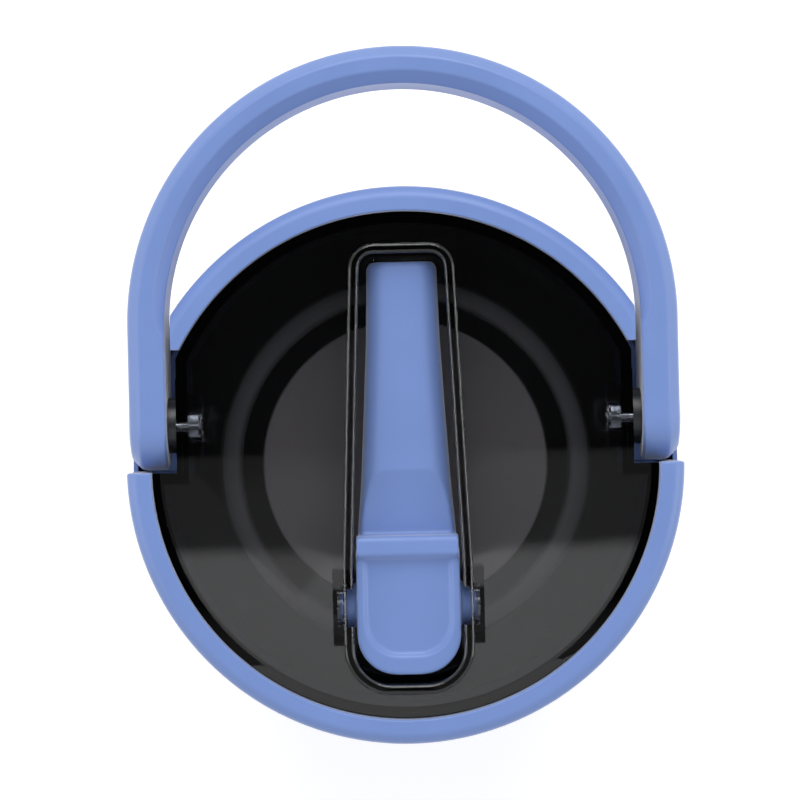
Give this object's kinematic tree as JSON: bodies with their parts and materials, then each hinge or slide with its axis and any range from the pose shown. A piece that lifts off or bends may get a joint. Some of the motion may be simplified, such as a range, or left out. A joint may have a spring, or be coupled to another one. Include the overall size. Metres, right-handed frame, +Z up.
{
  "type": "insulated water jug",
  "caption": "Tall double-walled steel water jug with a screw-on lid, a flip-up spout lying in a channel, a straw and a bail handle that folds back.",
  "frame": {"origin": "centre of the underside of the foot pad, on the axis of the jug", "axes": "+Z up along the jug's axis, +Y towards the folded-back handle and the tip of the closed spout, +X to the right when facing +Y"},
  "size_m": [0.12, 0.1503, 0.2648],
  "materials": {
    "powder_coat": "fine-grained powder coat, periwinkle blue",
    "bare_steel": "brushed 18/8 stainless steel",
    "polished_steel": "polished stainless steel",
    "blue_plastic": "matt moulded polypropylene, periwinkle blue",
    "smoke_plastic": "clear smoke-tinted copolyester, polished",
    "dark_plastic": "satin moulded polypropylene, near black",
    "silicone": "satin silicone, slate",
    "acetal": "satin moulded acetal, black",
    "straw_plastic": "satin translucent polyethylene",
    "port_plastic": "satin moulded polypropylene"
  },
  "bodies": {
    "jug_body": {"outer_shell": "powder_coat", "shell_neck": "powder_coat", "inner_liner": "bare_steel", "liner_bottom": "bare_steel", "liner_neck": "bare_steel", "base_plate": "bare_steel", "getter_cup": "bare_steel", "foot_pad": "silicone"},
    "lid": {"lid_collar": "blue_plastic", "lid_shell": "smoke_plastic", "lid_core": "dark_plastic", "lid_gasket": "silicone", "vent_valve": "silicone", "straw_port": "port_plastic", "port_seal": "silicone", "straw": "straw_plastic", "pivot_screw_left": "polished_steel", "pivot_screw_right": "polished_steel", "pivot_nut_left": "bare_steel", "pivot_nut_right": "bare_steel"},
    "handle": {"handle": "blue_plastic", "pivot_bush_left": "acetal", "pivot_bush_right": "acetal", "pivot_cap_left": "polished_steel", "pivot_cap_right": "polished_steel"},
    "spout": {"spout": "blue_plastic"}
  },
  "joints": [
    {"name": "lid_lift", "type": "slide", "parent": "jug_body", "child": "lid", "axis": [0, 0, 1], "range_m": [0, 0.235]},
    {"name": "handle_swing", "type": "hinge", "parent": "lid", "child": "handle", "pos_m": [0, 0.0095, 0.2544], "axis": [1, 0, 0], "range_deg": [0, 90]},
    {"name": "spout_flip", "type": "hinge", "parent": "lid", "child": "spout", "pos_m": [0, -0.0303, 0.2553], "axis": [1, 0, 0], "range_deg": [0, 90]}
  ]
}
